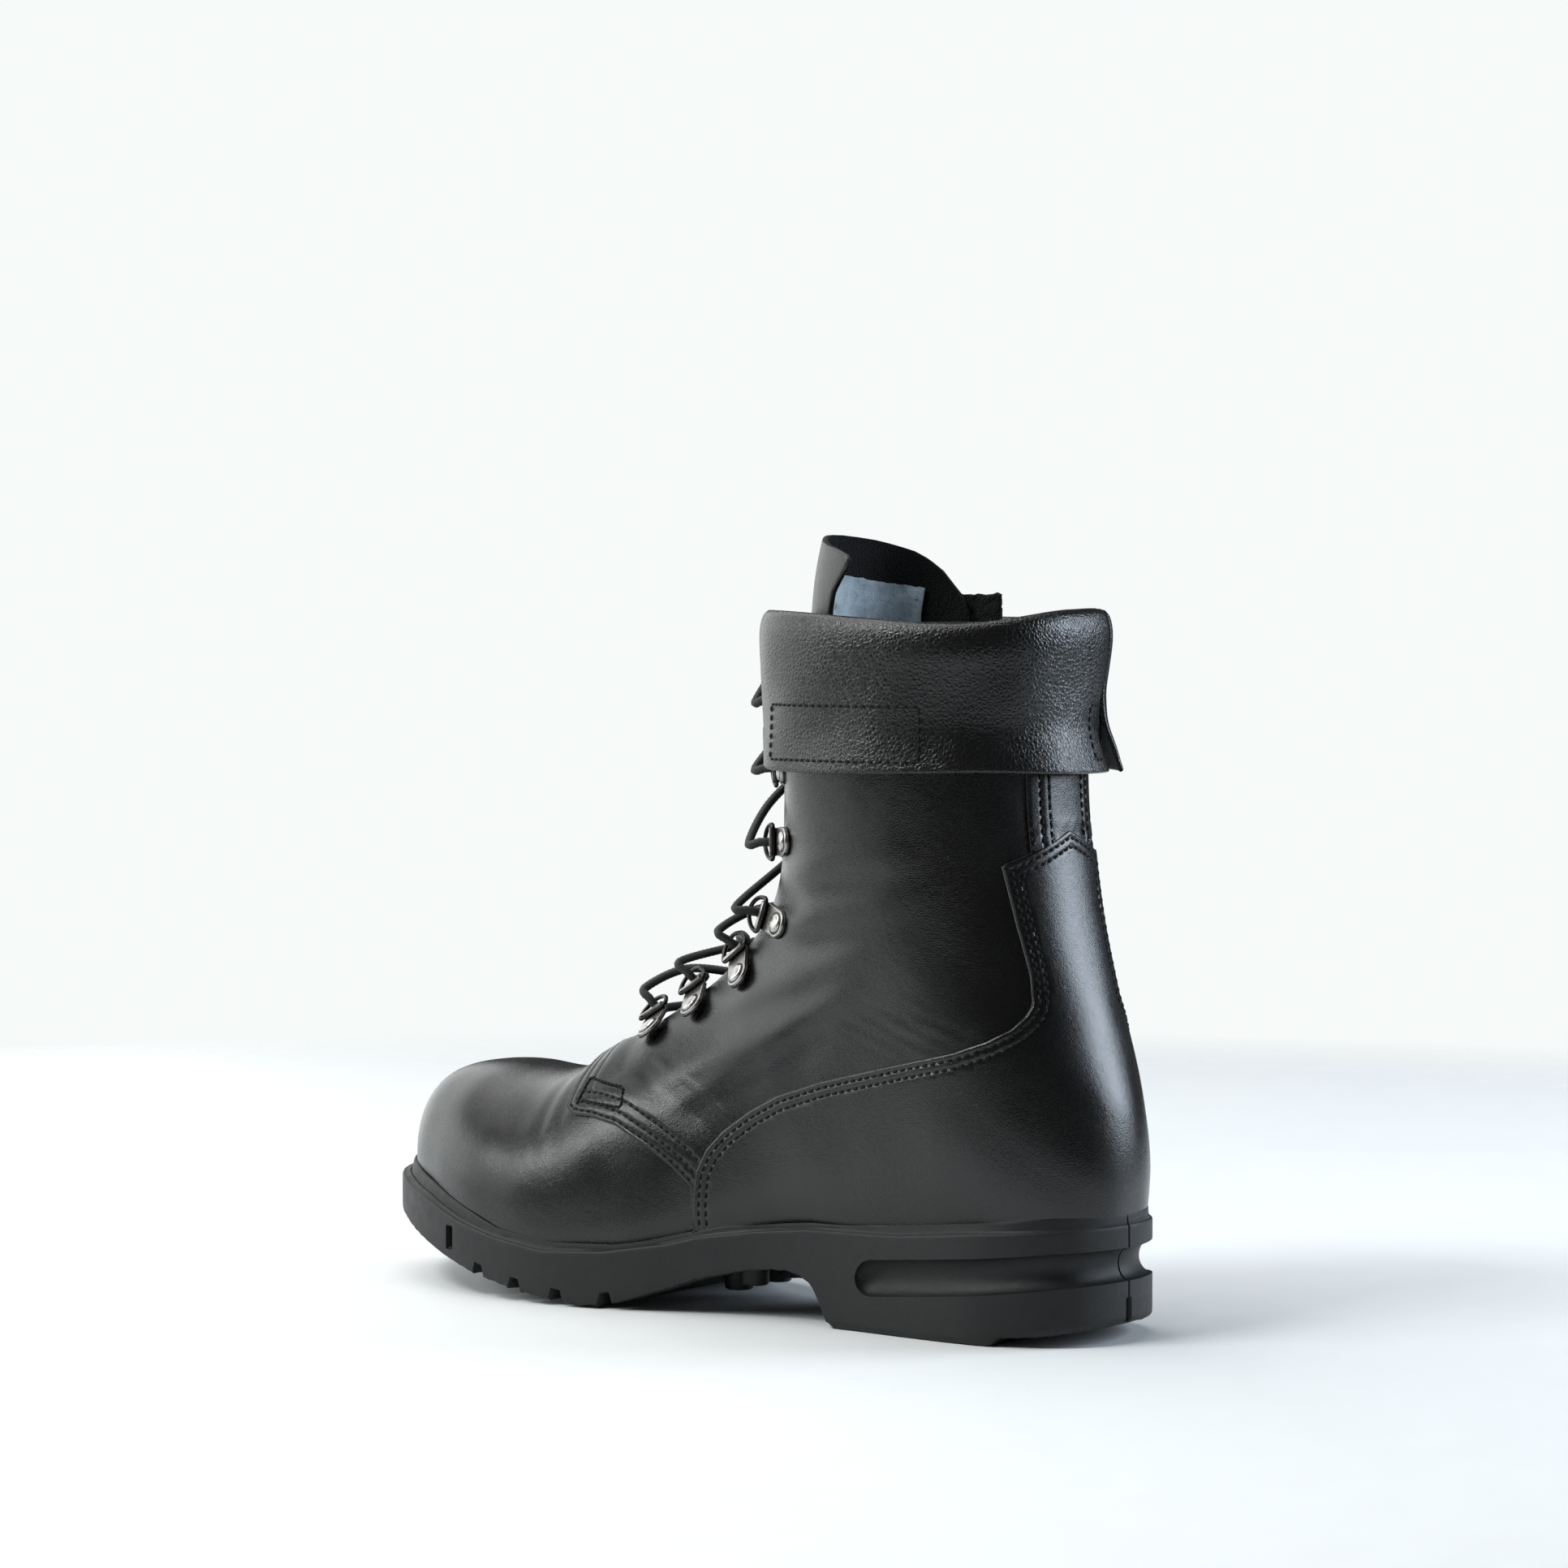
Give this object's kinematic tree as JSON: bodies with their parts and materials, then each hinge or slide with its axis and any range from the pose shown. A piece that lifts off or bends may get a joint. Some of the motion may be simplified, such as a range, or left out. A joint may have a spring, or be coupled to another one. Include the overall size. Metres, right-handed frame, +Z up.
{
  "type": "fire service safety boot",
  "caption": "Left lace-up black leather safety boot with steel toe cap, D-ring lacing, wrapped heel panel, turned-down padded-look collar and cleated heeled rubber sole.",
  "frame": {"origin": "middle of the boot's box, on the ground under the sole", "axes": "+Z up, toe towards -Y, lateral (outer) side towards +X"},
  "size_m": [0.1094, 0.305, 0.2598],
  "materials": {
    "upper_leather": "satin, fine grain",
    "soft_leather": "soft, pebbled grain",
    "lining_textile": "matte knit",
    "sole_rubber": "matte moulded",
    "protective_steel": "plain rolled",
    "fibre_board": "pressed fibre",
    "footbed_foam": "textile over foam",
    "felt": "needled felt",
    "hook_and_loop": "pile",
    "eyelet_metal": "gunmetal, satin",
    "lace_cord": "braided",
    "lace_tip": "plain"
  },
  "bodies": {
    "boot": {"backstay": "upper_leather", "cuff_end_patch": "hook_and_loop", "cuff_hook_patch": "hook_and_loop", "cuff_lateral": "soft_leather", "cuff_medial": "soft_leather", "cuff_tab": "hook_and_loop", "eyelet_clip_lateral_1": "eyelet_metal", "eyelet_clip_lateral_2": "eyelet_metal", "eyelet_clip_lateral_3": "eyelet_metal", "eyelet_clip_lateral_4": "eyelet_metal", "eyelet_clip_lateral_5": "eyelet_metal", "eyelet_clip_lateral_6": "eyelet_metal", "eyelet_clip_lateral_7": "eyelet_metal", "eyelet_clip_medial_1": "eyelet_metal", "eyelet_clip_medial_2": "eyelet_metal", "eyelet_clip_medial_3": "eyelet_metal", "eyelet_clip_medial_4": "eyelet_metal", "eyelet_clip_medial_5": "eyelet_metal", "eyelet_clip_medial_6": "eyelet_metal", "eyelet_clip_medial_7": "eyelet_metal", "footbed": "footbed_foam", "heel_counter": "fibre_board", "heel_foxing": "upper_leather", "heel_grip_lining": "lining_textile", "insole_board": "fibre_board", "lace": "lace_cord", "lace_tip_lateral": "lace_tip", "lace_tip_medial": "lace_tip", "outsole": "sole_rubber", "quarter_lateral": "upper_leather", "quarter_lining_lateral": "lining_textile", "quarter_lining_medial": "lining_textile", "quarter_medial": "upper_leather", "shaft_loop_patch": "hook_and_loop", "steel_midsole_plate": "protective_steel", "steel_toe_cap": "protective_steel", "tongue": "soft_leather", "tongue_felt_patch": "felt", "tongue_gusset_lateral": "soft_leather", "tongue_gusset_medial": "soft_leather", "vamp": "upper_leather", "vamp_lining": "lining_textile"},
    "d_ring_lateral_1": {"d_ring_lateral_1": "eyelet_metal"},
    "d_ring_lateral_2": {"d_ring_lateral_2": "eyelet_metal"},
    "d_ring_lateral_3": {"d_ring_lateral_3": "eyelet_metal"},
    "d_ring_lateral_4": {"d_ring_lateral_4": "eyelet_metal"},
    "d_ring_lateral_5": {"d_ring_lateral_5": "eyelet_metal"},
    "d_ring_lateral_6": {"d_ring_lateral_6": "eyelet_metal"},
    "d_ring_lateral_7": {"d_ring_lateral_7": "eyelet_metal"},
    "d_ring_medial_1": {"d_ring_medial_1": "eyelet_metal"},
    "d_ring_medial_2": {"d_ring_medial_2": "eyelet_metal"},
    "d_ring_medial_3": {"d_ring_medial_3": "eyelet_metal"},
    "d_ring_medial_4": {"d_ring_medial_4": "eyelet_metal"},
    "d_ring_medial_5": {"d_ring_medial_5": "eyelet_metal"},
    "d_ring_medial_6": {"d_ring_medial_6": "eyelet_metal"},
    "d_ring_medial_7": {"d_ring_medial_7": "eyelet_metal"}
  },
  "joints": [
    {"name": "d_ring_lateral_1_swing", "type": "hinge", "parent": "boot", "child": "d_ring_lateral_1", "pos_m": [0.01786, -0.03043, 0.09825], "axis": [-0.1196, 0.8387, 0.5314], "range_deg": [-10, 10]},
    {"name": "d_ring_lateral_2_swing", "type": "hinge", "parent": "boot", "child": "d_ring_lateral_2", "pos_m": [0.02005, -0.0118, 0.10815], "axis": [-0.0603, 0.8299, 0.5547], "range_deg": [-10, 10]},
    {"name": "d_ring_lateral_3_swing", "type": "hinge", "parent": "boot", "child": "d_ring_lateral_3", "pos_m": [0.02336, 0.00884, 0.12031], "axis": [0.046, 0.7981, 0.6007], "range_deg": [-10, 10]},
    {"name": "d_ring_lateral_4_swing", "type": "hinge", "parent": "boot", "child": "d_ring_lateral_4", "pos_m": [0.02467, 0.02135, 0.13354], "axis": [-0.0883, 0.286, 0.9542], "range_deg": [-10, 10]},
    {"name": "d_ring_lateral_5_swing", "type": "hinge", "parent": "boot", "child": "d_ring_lateral_5", "pos_m": [0.02074, 0.02303, 0.15815], "axis": [-0.0426, -0.0454, 0.9981], "range_deg": [-10, 10]},
    {"name": "d_ring_lateral_6_swing", "type": "hinge", "parent": "boot", "child": "d_ring_lateral_6", "pos_m": [0.01765, 0.02192, 0.18254], "axis": [0.0614, -0.0145, 0.998], "range_deg": [-10, 10]},
    {"name": "d_ring_lateral_7_swing", "type": "hinge", "parent": "boot", "child": "d_ring_lateral_7", "pos_m": [0.01808, 0.02169, 0.20588], "axis": [0.0382, -0.0366, 0.9986], "range_deg": [-10, 10]},
    {"name": "d_ring_medial_1_swing", "type": "hinge", "parent": "boot", "child": "d_ring_medial_1", "pos_m": [-0.01722, -0.03043, 0.09825], "axis": [0.1196, 0.8387, 0.5314], "range_deg": [-10, 10]},
    {"name": "d_ring_medial_2_swing", "type": "hinge", "parent": "boot", "child": "d_ring_medial_2", "pos_m": [-0.0194, -0.0118, 0.10815], "axis": [0.0603, 0.8299, 0.5547], "range_deg": [-10, 10]},
    {"name": "d_ring_medial_3_swing", "type": "hinge", "parent": "boot", "child": "d_ring_medial_3", "pos_m": [-0.02272, 0.00884, 0.12031], "axis": [-0.046, 0.7981, 0.6007], "range_deg": [-10, 10]},
    {"name": "d_ring_medial_4_swing", "type": "hinge", "parent": "boot", "child": "d_ring_medial_4", "pos_m": [-0.02403, 0.02135, 0.13354], "axis": [0.0883, 0.286, 0.9542], "range_deg": [-10, 10]},
    {"name": "d_ring_medial_5_swing", "type": "hinge", "parent": "boot", "child": "d_ring_medial_5", "pos_m": [-0.02009, 0.02303, 0.15815], "axis": [0.0426, -0.0454, 0.9981], "range_deg": [-10, 10]},
    {"name": "d_ring_medial_6_swing", "type": "hinge", "parent": "boot", "child": "d_ring_medial_6", "pos_m": [-0.017, 0.02192, 0.18254], "axis": [-0.0614, -0.0145, 0.998], "range_deg": [-10, 10]},
    {"name": "d_ring_medial_7_swing", "type": "hinge", "parent": "boot", "child": "d_ring_medial_7", "pos_m": [-0.01744, 0.02169, 0.20588], "axis": [-0.0382, -0.0366, 0.9986], "range_deg": [-10, 10]}
  ]
}
